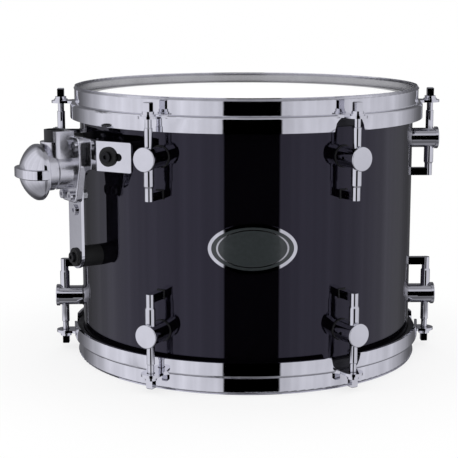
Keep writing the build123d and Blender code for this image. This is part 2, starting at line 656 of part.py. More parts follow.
def make_clamp_washer():
    hole = EYE_SHAFT_DIAMETER + 2 * SHAFT_HOLE_CLEARANCE
    washer = along_x(CLAMP_WASHER_DIAMETER, BARREL_FRONT, KNOB_BACK, z=CLAMP_HEIGHT)
    return washer - along_x(hole, BARREL_FRONT - 1, KNOB_BACK + 1, z=CLAMP_HEIGHT)


def knob_dome(crown_radius, tip, bulge_radius, bulge_at):
    """A dome about X from its side profile."""
    rim_r = KNOB_DIAMETER / 2
    rim_end = KNOB_BACK + KNOB_RIM
    side = ThreePointArc((rim_end, rim_r), (bulge_at, bulge_radius), (tip, crown_radius))
    rest = Polyline((tip, crown_radius), (tip, 0), (KNOB_BACK, 0), (KNOB_BACK, rim_r), (rim_end, rim_r))
    return Pos(0, 0, CLAMP_HEIGHT) * revolve(make_face([side, *rest.edges()]), Axis.X)


def make_knob():
    """A low dome with a straight grip standing out across it."""
    rim_end = KNOB_BACK + KNOB_RIM
    low_tip = KNOB_TIP - KNOB_CROWN_DROP
    crown = KNOB_CROWN_DIAMETER / 2
    rim_r = KNOB_DIAMETER / 2
    shoulder = rim_end + KNOB_SHOULDER * (low_tip - rim_end)
    low = knob_dome(crown, low_tip, crown + (rim_r - crown) * 0.6, shoulder)
    depth = KNOB_TIP - rim_end
    full = knob_dome(crown / 2, KNOB_TIP, rim_r * 0.86, rim_end + depth * 0.55)
    slab = Pos(KNOB_BACK, 0, CLAMP_HEIGHT) * Box(FAR, FAR, KNOB_GRIP)
    knob = low + (full & slab)
    bore = EYE_SHAFT_DIAMETER + 2 * THREAD_CLEARANCE
    return knob - along_x(bore, KNOB_BACK - 1, KNOB_BACK + KNOB_HOLE_DEPTH, z=CLAMP_HEIGHT)


def make_receiver_screws():
    screws = []
    for y, z in receiver_screw_places():
        head = along_x(
            RECEIVER_SCREW_HEAD, BASE_FRONT, BASE_FRONT + RECEIVER_SCREW_HEAD_HEIGHT, y, z)
        head = fillet(head.edges().group_by(Axis.X)[-1], RECEIVER_SCREW_HEAD_HEIGHT / 3)
        end = PLATE_INNER_R - RECEIVER_NUT_HEIGHT - SCREW_END_PAST_NUT
        screws.append(head + along_x(RECEIVER_SCREW_DIAMETER, end, BASE_FRONT, y, z))
    return screws


def make_receiver_nuts():
    bore = RECEIVER_SCREW_DIAMETER + 2 * THREAD_CLEARANCE
    return [hex_nut(RECEIVER_NUT_FLATS, RECEIVER_NUT_HEIGHT, bore, PLATE_INNER_R, y, z)
            for y, z in receiver_screw_places()]


# ---------------------------------------------------------------- badge and vent


def oval(width, height, start, end):
    """An upright oval bar towards +X, at mid height."""
    face = Plane.YZ.offset(start) * Pos(0, MIDDLE) * Ellipse(width / 2, height / 2)
    return extrude(face, end - start)


def make_badge_plate():
    """A plain curved oval with a raised rim."""
    width, height = BADGE_SIZE
    plate = oval(width, height, SHELL_INNER_R, SHELL_R + 5)
    plate &= drum_cylinder(SHELL_R + BADGE_RIM_HEIGHT) - drum_cylinder(SHELL_R)
    inside = 2 * BADGE_RIM_WIDTH
    recess = oval(width - inside, height - inside, SHELL_INNER_R, SHELL_R + 6)
    return plate - (recess - drum_cylinder(SHELL_R + BADGE_BASE))


def make_badge_inlay():
    width, height = BADGE_SIZE
    inside = 2 * BADGE_RIM_WIDTH
    inlay = oval(width - inside, height - inside, SHELL_INNER_R, SHELL_R + 5)
    layer = drum_cylinder(SHELL_R + BADGE_BASE + BADGE_INLAY) - drum_cylinder(SHELL_R + BADGE_BASE)
    return inlay & layer


def make_vent():
    """A tube through the shell with a flange on each side."""
    out = SHELL_R + VENT_FLANGE
    inside = SHELL_INNER_R - VENT_FLANGE
    tube = along_x(VENT_TUBE_DIAMETER, inside, out, z=MIDDLE)
    flanges = along_x(VENT_FLANGE_DIAMETER, inside, out, z=MIDDLE)
    flanges -= drum_cylinder(SHELL_R) - drum_cylinder(SHELL_INNER_R)
    vent = tube + flanges
    return vent - along_x(VENT_BORE, inside - 1, out + 1, z=MIDDLE)


# ---------------------------------------------------------------- the nodes


def around(piece):
    """The piece at each rod's azimuth."""
    return [facing(azimuth) * piece for azimuth in ROD_AZIMUTHS]


def at_bracket(piece):
    return facing(BRACKET_AZIMUTH) * piece


def save_both_ends(name, pieces):
    """One node for the batter end and its counterpart for the resonant end."""
    pieces = pieces if isinstance(pieces, list) else [pieces]
    save(f"batter_{name}", pieces)
    save(f"resonant_{name}", [lower(piece) for piece in pieces])


def main():
    os.makedirs("parts", exist_ok=True)
    save("shell", make_shell())
    save_both_ends("film", make_film())
    save_both_ends("flesh_hoop", make_flesh_hoop())
    save_both_ends("hoop", make_hoop())

    for number, rod in enumerate(around(make_rod()), 1):
        save_both_ends(f"rod_{number}", rod)
    for number, lug in enumerate(around(make_lug()), 1):
        save_both_ends(f"lug_{number}", lug)
    save_both_ends("rod_washers", around(make_rod_washer()))
    save_both_ends("lug_inserts", around(make_lug_insert()))
    post_pad, foot_pad = make_lug_gaskets()
    save_both_ends("lug_gaskets", around(post_pad) + around(foot_pad))
    save_both_ends("lug_screws", around(make_lug_screw()))
    save_both_ends("lug_washers", around(make_lug_washer()))

    save("bracket_plate", at_bracket(make_bracket_plate()))
    places = isolator_places()
    for name, place in zip(("front", "rear", "lower"), places):
        save(f"bracket_isolator_{name}", at_bracket(make_isolator(place)))
    save("isolator_sleeves", [at_bracket(make_isolator_sleeve(place)) for place in places])
    save("isolator_screws", [at_bracket(make_isolator_screw(place)) for place in places])
    save("isolator_washers", [at_bracket(make_isolator_washer(place)) for place in places])
    save("isolator_nuts", [at_bracket(make_isolator_nut(place)) for place in places])

    save("receiver_housing", at_bracket(make_receiver()))
    save("receiver_screws", [at_bracket(screw) for screw in make_receiver_screws()])
    save("receiver_nuts", [at_bracket(nut) for nut in make_receiver_nuts()])
    save("arm_bush", at_bracket(make_arm_bush()))
    save("eye_bolt", at_bracket(make_eye_bolt()))
    save("clamp_washer", at_bracket(make_clamp_washer()))
    save("clamp_knob", at_bracket(make_knob()))

    save("badge_plate", facing(0) * make_badge_plate())
    save("badge_inlay", facing(0) * make_badge_inlay())
    save("vent_grommet", facing(VENT_AZIMUTH) * make_vent())


main()
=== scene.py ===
import json
import math

import bmesh
import bpy
from bpy.props import FloatProperty, FloatVectorProperty, PointerProperty
from mathutils import Euler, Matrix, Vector


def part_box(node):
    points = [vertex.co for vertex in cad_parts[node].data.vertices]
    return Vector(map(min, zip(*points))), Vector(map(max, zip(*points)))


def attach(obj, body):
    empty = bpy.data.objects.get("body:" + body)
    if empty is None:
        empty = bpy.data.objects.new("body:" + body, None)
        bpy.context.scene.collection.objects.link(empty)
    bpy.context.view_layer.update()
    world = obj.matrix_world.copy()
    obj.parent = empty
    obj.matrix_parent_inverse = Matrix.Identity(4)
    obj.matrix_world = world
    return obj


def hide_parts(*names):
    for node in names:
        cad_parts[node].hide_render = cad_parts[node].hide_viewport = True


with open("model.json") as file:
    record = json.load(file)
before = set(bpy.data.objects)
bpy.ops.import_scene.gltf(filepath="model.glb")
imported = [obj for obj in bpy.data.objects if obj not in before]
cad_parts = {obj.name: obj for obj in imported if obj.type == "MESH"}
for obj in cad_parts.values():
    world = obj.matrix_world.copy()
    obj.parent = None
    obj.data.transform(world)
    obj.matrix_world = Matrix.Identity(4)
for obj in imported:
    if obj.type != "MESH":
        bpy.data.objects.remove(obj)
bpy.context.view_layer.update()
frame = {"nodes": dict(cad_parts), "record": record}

bl_info = {
    "name": "Rack Tom",
    "version": (1, 0, 0),
    "blender": (4, 5, 0),
    "location": "3D View > Sidebar > Rack Tom",
    "description": "Finishes a rack tom and makes its hoops, lugs, screws and knob, in a pale studio",
    "category": "Object",
}

NODES = frame["nodes"]

# Places that follow from the frame
SHELL_LOW, SHELL_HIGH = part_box("shell")
SHELL_R = SHELL_HIGH.x
MIDDLE = (SHELL_LOW.z + SHELL_HIGH.z) / 2
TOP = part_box("batter_hoop")[1].z
HOOP_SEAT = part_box("batter_flesh_hoop")[1].z
ROD_R = sum(corner.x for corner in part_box("batter_rod_2")) / 2
ROD_AZIMUTHS = [math.radians(30 + 60 * i) for i in range(6)]

# The clamp's knob turns about this level axis, and its back lies at this point
JOINTS = {joint["name"]: joint for joint in frame["record"]["behaviour"]["joints"]}
KNOB_BACK = Vector(JOINTS["clamp_knob_turn"]["pos_m"])
CLAMP_AXIS = Vector(JOINTS["clamp_knob_turn"]["axis"]).normalized()
CLAMP_SIDE = Vector((0, 0, 1)).cross(CLAMP_AXIS)

# Points this close are one, a point that moves less than a hair keeps its normals, and
# edges sharper than the crease angle stay sharp
MERGE = 1e-6
HAIR = 0.00002
CREASE = math.radians(32)


# ---------------------------------------------------------------- node trees


class Tree:
    """Adds and joins the nodes of one node tree."""

    def __init__(self, tree):
        self.tree = tree
        tree.nodes.clear()

    def add(self, kind, settings=None, **inputs):
        """A node with its settings and its inputs, each a value or a socket to link."""
        node = self.tree.nodes.new(kind)
        for name, value in (settings or {}).items():
            setattr(node, name, value)
        for name, value in inputs.items():
            self.put(node.inputs[name.replace("_", " ")], value)
        return node

    def put(self, socket, value):
        if isinstance(value, bpy.types.NodeSocket):
            self.tree.links.new(value, socket)
        elif value is not None:
            socket.default_value = value

    def math(self, operation, *values):
        node = self.tree.nodes.new("ShaderNodeMath")
        node.operation = operation
        for socket, value in zip(node.inputs, values):
            self.put(socket, value)
        return node.outputs[0]

    def spread(self, value, low, high, to_low=0.0, to_high=1.0, smooth=False):
        """The value's share of low to high, as to_low to to_high."""
        node = self.add("ShaderNodeMapRange", {"clamp": True})
        node.interpolation_type = "SMOOTHSTEP" if smooth else "LINEAR"
        for name, number in zip(("Value", "From Min", "From Max", "To Min", "To Max"),
                                (value, low, high, to_low, to_high)):
            self.put(node.inputs[name], number)
        return node.outputs["Result"]

    def blend(self, factor, a, b):
        """Colour a where the factor is 0, b where it is 1."""
        node = self.add("ShaderNodeMix", {"data_type": "RGBA"})
        self.put(node.inputs[0], factor)
        for socket, colour in ((node.inputs[6], a), (node.inputs[7], b)):
            self.put(socket, colour if isinstance(colour, bpy.types.NodeSocket) else (*colour, 1))
        return node.outputs[2]

    def place(self):
        """Object coordinates in metres."""
        return self.add("ShaderNodeTexCoord").outputs["Object"]

    def noise(self, place, scale, detail=2.0, rough=0.5):
        node = self.add("ShaderNodeTexNoise", None, Vector=place, Scale=scale, Detail=detail,
                        Roughness=rough)
        return node.outputs["Fac"]

    def axes(self, place):
        return self.add("ShaderNodeSeparateXYZ", None, Vector=place).outputs

    def length(self, a, b):
        squares = self.math("ADD", self.math("MULTIPLY", a, a), self.math("MULTIPLY", b, b))
        return self.math("SQRT", squares)

    def radius(self, place):
        """Distance from the drum's axis."""
        x, y, _ = self.axes(place)
        return self.length(x, y)

    def bump(self, height, distance, strength=1.0):
        node = self.add("ShaderNodeBump", None, Height=height, Distance=distance, Strength=strength)
        return node.outputs["Normal"]


def shade(colour, share):
    """The colour with each part at a share of itself."""
    return tuple(share * part for part in colour)


def new_material(name, **sockets):
    """A material with one Principled shader, its constants on the shader's own sockets."""
    material = bpy.data.materials.new(name)
    material.use_nodes = True
    tree = Tree(material.node_tree)
    shader = tree.add("ShaderNodeBsdfPrincipled", None, **sockets)
    tree.add("ShaderNodeOutputMaterial", None, Surface=shader.outputs[0])
    return material, tree, shader.inputs


# ---------------------------------------------------------------- materials


def chrome_material(name="chrome_plate", tint=(0.80, 0.80, 0.84), rough=0.03):
    """Bright plating: faint haze, and a very slight ripple that bends reflections."""
    material, tree, shader = new_material(name, Metallic=1.0)
    place = tree.place()
    cloud = tree.noise(place, 45.0, 4.0)
    hazy = tree.spread(cloud, 0.35, 0.7)
    tree.put(shader["Base Color"], tree.blend(hazy, tint, shade(tint, 0.90)))
    tree.put(shader["Roughness"], tree.spread(cloud, 0.3, 0.7, rough, rough * 1.8))
    ripple = tree.noise(place, 160.0, 2.0)
    tree.put(shader["Normal"], tree.bump(ripple, 0.00002, 0.5))
    return material


def hoop_material(look):
    """Plated hoop, polished outside; on the rim's inner face rougher, with a darker colour that is a
    painted shade.
    """
    material, tree, shader = new_material("hoop_plate", Metallic=1.0)
    place = tree.place()
    radius = tree.radius(place)
    inside = tree.spread(radius, look.hoop_inside + 0.0002, look.hoop_inside + 0.0008, 1.0, 0.0)
    cloud = tree.noise(place, 45.0, 4.0)
    tint = tuple(look.plating)
    bright = tree.blend(tree.spread(cloud, 0.35, 0.7), tint, shade(tint, 0.92))
    # Painted shade: the rim's inner face gets a darker plating colour that stands in for the shade
    # inside the rim.
    painted_shade_inside = tree.blend(cloud, shade(tint, 0.56), shade(tint, 0.42))
    tree.put(shader["Base Color"], tree.blend(inside, bright, painted_shade_inside))
    polish = tree.spread(cloud, 0.3, 0.7, 0.018, 0.035)
    tree.put(shader["Roughness"], tree.spread(inside, 0, 1, polish, 0.22))
    ripple = tree.noise(place, 120.0, 2.0)
    tree.put(shader["Normal"], tree.bump(ripple, 0.000015, 0.5))
    return material


def lacquer_material(look):
    """Gloss lacquer outside, open wood with its ply edges inside and on the bearing edges."""
    material, tree, shader = new_material("shell_lacquer_gloss")
    place = tree.place()
    radius = tree.radius(place)
    outside = tree.spread(radius, SHELL_R - 0.0008, SHELL_R - 0.0004)
    grain_place = tree.add("ShaderNodeMapping", None, Vector=place)
    grain_place.inputs["Scale"].default_value = (1.0, 1.0, 14.0)
    grain = tree.noise(grain_place.outputs[0], 60.0, 6.0, 0.6)
    ply = tree.math("FRACT", tree.math("MULTIPLY", radius, 1 / look.ply))
    ply_line = tree.spread(ply, 0.78, 0.86)
    wood = tree.blend(grain, (0.62, 0.43, 0.25), (0.42, 0.26, 0.13))
    wood = tree.blend(tree.math("MULTIPLY", ply_line, 0.5), wood, (0.25, 0.14, 0.07))
    haze = tree.noise(place, 9.0, 3.0)
    black = tree.blend(haze, look.lacquer, shade(look.lacquer, 0.6))
    tree.put(shader["Base Color"], tree.blend(outside, wood, black))
    polish = tree.spread(tree.noise(place, 35.0, 3.0), 0.35, 0.7, 0.012, 0.03)
    wood_rough = tree.spread(outside, 0, 1, 0.55, 0.0)
    tree.put(shader["Roughness"], tree.math("MAXIMUM", polish, wood_rough))
    shader["Specular IOR Level"].default_value = look.gloss
    shader["Specular Tint"].default_value = (*look.gloss_tint, 1)
    wave = tree.noise(place, 22.0, 2.0)
    tree.put(shader["Normal"], tree.bump(wave, 0.0001, 0.3))
    return material


def coated_film_material(look):
    """White spray coating with a fine sanded tooth, and outside it the bare film in mid grey, partly
    a painted shade from the hoop's rim.
    """
    material, tree, shader = new_material("coated_film_white")
    place = tree.place()
    radius = tree.radius(place)
    tooth = tree.noise(place, 1500.0, 4.0, 0.7)
    cloud = tree.noise(place, 12.0, 3.0)
    ragged = tree.math("ADD", radius, tree.math("MULTIPLY", tree.noise(place, 90.0), 0.0006))
    bare = tree.spread(ragged, look.coated_radius, look.coated_radius + 0.001)
    coated = tree.blend(tree.spread(cloud, 0.3, 0.7), look.coating, shade(look.coating, 0.97))
    # Painted shade, in part: the bare film outside the coating is given a mid grey that also stands
    # for the shade under the hoop's rim.
    tree.put(shader["Base Color"], tree.blend(bare, coated, look.shaded_collar))
    coated_rough = tree.spread(tooth, 0.3, 0.7, 0.55, 0.8)
    tree.put(shader["Roughness"], tree.spread(bare, 0, 1, coated_rough, 0.15))
    height = tree.spread(bare, 0, 1, tooth, 0.0)
    tree.put(shader["Normal"], tree.bump(height, 0.00008, 0.6))
    return material


def clear_film_material():
    """Clear polyester with the faintest handling haze."""
    material, tree, shader = new_material("clear_film_polyester", IOR=1.5)
    shader["Transmission Weight"].default_value = 1.0
    haze = tree.noise(tree.place(), 30.0, 5.0, 0.6)
    tree.put(shader["Base Color"], tree.blend(haze, (0.97, 0.98, 1.0), (0.90, 0.92, 0.94)))
    tree.put(shader["Roughness"], tree.spread(haze, 0.4, 0.8, 0.02, 0.10))
    return material


def turned_material(name, colour, rough):
    """Machined or rolled metal with fine level lines."""
    material, tree, shader = new_material(name, Metallic=1.0)
    place = tree.place()
    stretched = tree.add("ShaderNodeMapping", None, Vector=place)
    stretched.inputs["Scale"].default_value = (0.05, 0.05, 1.0)
    lines = tree.noise(stretched.outputs[0], 900.0, 3.0, 0.7)
    tree.put(shader["Base Color"], tree.blend(lines, colour, shade(colour, 0.8)))
    tree.put(shader["Roughness"], tree.spread(lines, 0.3, 0.7, rough, rough * 1.5))
    tree.put(shader["Normal"], tree.bump(lines, 0.00003, 0.4))
    return material


def rubber_material(name="bracket_rubber", colour=(0.006, 0.006, 0.0065), rough=0.6):
    """Moulded rubber or nylon: mottled, with a fine moulded skin."""
    material, tree, shader = new_material(name)
    place = tree.place()
    skin = tree.noise(place, 1100.0, 4.0, 0.6)
    dust = tree.noise(place, 70.0, 5.0, 0.65)
    dusty = tuple(1.6 * part + 0.004 for part in colour)
    tree.put(shader["Base Color"], tree.blend(tree.spread(dust, 0.45, 0.75), colour, dusty))
    tree.put(shader["Roughness"], tree.spread(dust, 0.3, 0.7, rough, rough * 1.25))
    tree.put(shader["Normal"], tree.bump(skin, 0.00006, 0.5))
    return material


def enamel_material(look):
    """Dark enamel oval with a thin bright line inside its edge."""
    material, tree, shader = new_material("badge_enamel_dark")
    low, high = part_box("badge_inlay")
    half = (high - low) / 2
    place = tree.place()
    x, _, z = tree.axes(place)
    across = tree.math("DIVIDE", x, half.x)
    up = tree.math("DIVIDE", tree.math("SUBTRACT", z, MIDDLE), half.z)
    line = tree.math("COMPARE", tree.length(across, up), 0.86, 0.022)
    cloud = tree.noise(place, 300.0, 4.0)
    enamel = tree.blend(cloud, look.enamel, shade(look.enamel, 0.6))
    tree.put(shader["Base Color"], tree.blend(line, enamel, (0.62, 0.62, 0.64)))
    tree.put(shader["Metallic"], line)
    tree.put(shader["Roughness"], tree.spread(line, 0, 1, 0.22, 0.12))
    shader["Coat Weight"].default_value = 0.6
    shader["Coat Roughness"].default_value = 0.05
    return material


def dress(names, material):
    """Puts one material on CAD nodes."""
    for name in names:
        for slot in NODES[name].material_slots:
            slot.material = material


def both_ends(*names):
    return [f"{end}_{name}" for name in names for end in ("batter", "resonant")]


# ---------------------------------------------------------------- making pieces


def outwards(azimuth):
    """Level direction at an azimuth, counted from the badge towards +X."""
    return Vector((math.sin(azimuth), -math.cos(azimuth), 0))


def sideways(azimuth):
    """Level direction of growing azimuth."""
    return Vector((math.cos(azimuth), math.sin(azimuth), 0))


def add_piece(name, mesh, material, body, slot, *nodes):
    """A finished piece that rides on a body and stands for the CAD nodes named, if any."""
    mesh.materials.clear()
    mesh.materials.append(material)
    piece = bpy.data.objects.new(name, mesh)
    bpy.context.scene.collection.objects.link(piece)
    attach(piece, body)
    if nodes:
        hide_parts(*nodes)


def merged(node):
    """A CAD node's mesh as a bmesh, its loose triangles joined."""
    shape = bmesh.new()
    shape.from_mesh(NODES[node].data)
    bmesh.ops.remove_doubles(shape, verts=shape.verts, dist=MERGE)
    return shape


def smooth(mesh):
    mesh.shade_smooth()
    mesh.set_sharp_from_angle(angle=CREASE)


def mesh_from(name, shape):
    """A smooth mesh with sharp creases from a bmesh."""
    mesh = bpy.data.meshes.new(name)
    shape.to_mesh(mesh)
    shape.free()
    smooth(mesh)
    return mesh


def ring_of_faces(shape, low, high):
    """Joins two closed rows of points with four-sided faces."""
    for i in range(len(low)):
        j = (i + 1) % len(low)
        shape.faces.new((low[i], low[j], high[j], high[i]))


def closed_skin(shape, rows):
    """A solid from rows of points, each row a closed line, with a flat face at both ends."""
    for low, high in zip(rows, rows[1:]):
        ring_of_faces(shape, low, high)
    shape.faces.new(rows[0])
    shape.faces.new(rows[-1])


def reshaped(name, node, move):
    """A merged copy of a CAD node's mesh with each point passed through move.

    Corners keep the CAD normals, but where the points moved by more than a hair they
    take the normals of the new shape.
    """
    source = NODES[node].data
    shape = bmesh.new()
    shape.from_mesh(source)
    kept = shape.loops.layers.float_vector.new("kept_normal")
    for face in shape.faces:
        for corner in face.loops:
            corner[kept] = source.corner_normals[corner.index].vector
    bmesh.ops.remove_doubles(shape, verts=shape.verts, dist=MERGE)
    for point in shape.verts:
        place = move(point.co)
        if (place - point.co).length > HAIR:
            for corner in point.link_loops:
                corner[kept] = (0, 0, 0)
        point.co = place
    mesh = mesh_from(name, shape)
    normals = [tuple(item.vector) for item in mesh.attributes["kept_normal"].data]
    mesh.attributes.remove(mesh.attributes["kept_normal"])
    mesh.normals_split_custom_set(normals)
    return mesh


# ---------------------------------------------------------------- sizes and colours


class TomLook(bpy.types.PropertyGroup):
    """Colours and finishes"""
    lacquer: FloatVectorProperty(
        name="Lacquer", description="Colour under the shell's clear gloss",
        default=(0.0016, 0.0013, 0.0022), subtype="COLOR")
    gloss: FloatProperty(
        name="Lacquer gloss", description="Strength of the lacquer's reflection", default=0.62)
    gloss_tint: FloatVectorProperty(
        name="Gloss tint", description="Colour of the lacquer's reflection",
        default=(0.74, 0.70, 0.95), subtype="COLOR")
    coating: FloatVectorProperty(
        name="Head coating", description="Colour of the batter head's coating",
        default=(0.93, 0.93, 0.93), subtype="COLOR")
    coated_radius: FloatProperty(
        name="Coated radius", description="The coating stops at this radius",
        default=0.1425, unit="LENGTH")
    # The bare film's mid grey is partly a painted shade from the hoop's rim.
    shaded_collar: FloatVectorProperty(
        name="Bare collar", description="Colour of the film outside the coating",
        default=(0.50, 0.50, 0.50), subtype="COLOR")
    plating: FloatVectorProperty(
        name="Plating", description="Colour of the bright plating",
        default=(0.80, 0.80, 0.84), subtype="COLOR")
    enamel: FloatVectorProperty(
        name="Badge enamel", description="Colour of the badge's inlay",
        default=(0.028, 0.034, 0.036), subtype="COLOR")
    hoop_inside: FloatProperty(
        name="Hoop inside", description="Radius of the inner face of the hoops' upper wall",
        default=0.1547, unit="LENGTH")
    ply: FloatProperty(
        name="Ply", description="Thickness of one ply of the shell",
        default=0.00107, unit="LENGTH")


class TomForms(bpy.types.PropertyGroup):
    """Sizes of the pieces that are made here"""
    wall_radius: FloatProperty(
        name="Hoop wall", description="Outer radius of the hoops' upper wall",
        default=0.1570, unit="LENGTH")
    lip: FloatProperty(
        name="Hoop lip", description="How far the rim turns out past the wall",
        default=0.0006, unit="LENGTH")
    round_over: FloatProperty(
        name="Round-over", description="Radius of the rim's outer edge",
        default=0.0018, unit="LENGTH")
    notch_widening: FloatProperty(
        name="Notch widening", description="Added to each side of a skirt's gap, at its open end",
        default=0.003, unit="LENGTH")
    post_offset: FloatProperty(
        name="Post offset", description="Lug post's axis from the drum's end",
        default=0.050, unit="LENGTH")
    post_radius: FloatProperty(
        name="Post radius", description="Radius of a lug's post", default=0.009, unit="LENGTH")
    tube_radius: FloatProperty(
        name="Tube radius", description="Radius of a lug's tube", default=0.00435, unit="LENGTH")
    sleeve_radius: FloatProperty(
        name="Sleeve radius", description="Radius of the sleeve that stands out of a lug's post",
        default=0.0035, unit="LENGTH")
    knob_radius: FloatProperty(
        name="Knob radius", description="Radius of the knob's rim", default=0.024, unit="LENGTH")
    knob_rim: FloatProperty(
        name="Knob rim", description="Thickness of the knob's rim", default=0.003, unit="LENGTH")
    knob_length: FloatProperty(
        name="Knob length", description="From the knob's back to the top of its grip",
        default=0.0192, unit="LENGTH")
    knob_drop: FloatProperty(
        name="Dome drop", description="The dome's top lies this far below the grip's",
        default=0.0032, unit="LENGTH")
    grip: FloatProperty(
        name="Grip", description="Thickness of the grip across the knob",
        default=0.0087, unit="LENGTH")
    button_radius: FloatProperty(
        name="Button radius", description="Head of the button in the bracket's leg",
        default=0.0048, unit="LENGTH")
    button_height: FloatProperty(
        name="Button height", description="Above the drum's foot", default=0.146, unit="LENGTH")
    tower_radius: FloatProperty(
        name="Tower radius", description="Radius of the casting's tower",
        default=0.012, unit="LENGTH")
    cheek_reach: FloatProperty(
        name="Cheek reach", description="The tower's cheeks reach this far past the arm's axis",
        default=0.0045, unit="LENGTH")
    cheek_bottom: FloatProperty(
        name="Cheek bottom", description="Above the knob's axis", default=0.0250, unit="LENGTH")
    cheek_top: FloatProperty(
        name="Cheek top", description="Above the knob's axis", default=0.0345, unit="LENGTH")


class TomStudio(bpy.types.PropertyGroup):
    """Camera, floor and light"""
    lens: FloatProperty(
        name="Lens", description="Focal length of the camera", default=103.83, unit="CAMERA")
    distance: FloatProperty(
        name="Camera distance", description="From the drum's axis, level",
        default=1.2172, unit="LENGTH")
    height: FloatProperty(
        name="Camera height", description="Above the floor", default=0.3389, unit="LENGTH")
    swing: FloatProperty(
        name="Camera swing", description="Round the drum from the badge, to its left",
        default=math.radians(2.19), subtype="ANGLE")
    turn: FloatProperty(
        name="Camera turn", description="Turned left of the drum's axis",
        default=math.radians(0.74), subtype="ANGLE")
    pitch: FloatProperty(
        name="Camera pitch", description="Downwards", default=math.radians(10.55), subtype="ANGLE")
    gap: FloatProperty(
        name="Dark gap", description="Half the dark stretch between the two soft boxes",
        default=math.radians(18.5), subtype="ANGLE")
    gap_middle: FloatProperty(
        name="Gap's middle", description="To the right of the camera",
        default=math.radians(4.0), subtype="ANGLE")
    gap_edge: FloatProperty(
        name="Gap's edge", description="Half the width over which the gap darkens",
        default=math.radians(0.6), subtype="ANGLE")
    gap_top: FloatProperty(
        name="Gap's top", description="Height angle above which the gap is light again",
        default=math.radians(29), subtype="ANGLE")
    gap_bottom: FloatProperty(
        name="Gap's bottom", description="Height angle under which the gap is light again",
        default=math.radians(-22), subtype="ANGLE")
    left_box: FloatProperty(name="Left box", description="Strength of the soft box", default=0.88)
    right_box: FloatProperty(name="Right box", description="Strength of the soft box", default=0.74)
    streaks: FloatProperty(
        name="Streaks", description="How closely the soft boxes' folds stand", default=6.0)
    streak_depth: FloatProperty(
        name="Streak depth", description="How much a fold darkens", default=0.16)
    box_edge: FloatProperty(
        name="Box edge", description="The soft boxes' strength beside the gap", default=0.78)
    back_light: FloatProperty(
        name="Back light", description="Strength behind the drum, as its plating shows it",
        default=0.18)
    low_light: FloatProperty(
        name="Low light", description="Strength under the drum, as its plating shows it",
        default=0.4)
    top_light: FloatProperty(
        name="Top light", description="Strength overhead, as the plating shows it", default=0.5)
    dome_low: FloatProperty(
        name="Dome at the floor", description="Even light from low down", default=0.7)
    dome_high: FloatProperty(
        name="Dome overhead", description="Even light from above", default=1.35)
    box_colour: FloatVectorProperty(
        name="Soft boxes", description="Colour of the light that the plating shows",
        default=(0.92, 0.92, 1.0), subtype="COLOR")
    shadow_reach: FloatProperty(
        name="Shadow's reach", description="The floor is plain white well past this radius",
        default=0.22, unit="LENGTH")
    floor_lift: FloatProperty(
        name="Floor lift", description="Share of plain white in the floor near the drum",
        default=0.72)
    floor_size: FloatProperty(
        name="Floor size", description="Width of the floor", default=8.0, unit="LENGTH")


def look():
    return bpy.context.scene.tom_look


def forms():
    return bpy.context.scene.tom_forms


def studio():
    return bpy.context.scene.tom_studio


# ---------------------------------------------------------------- operators


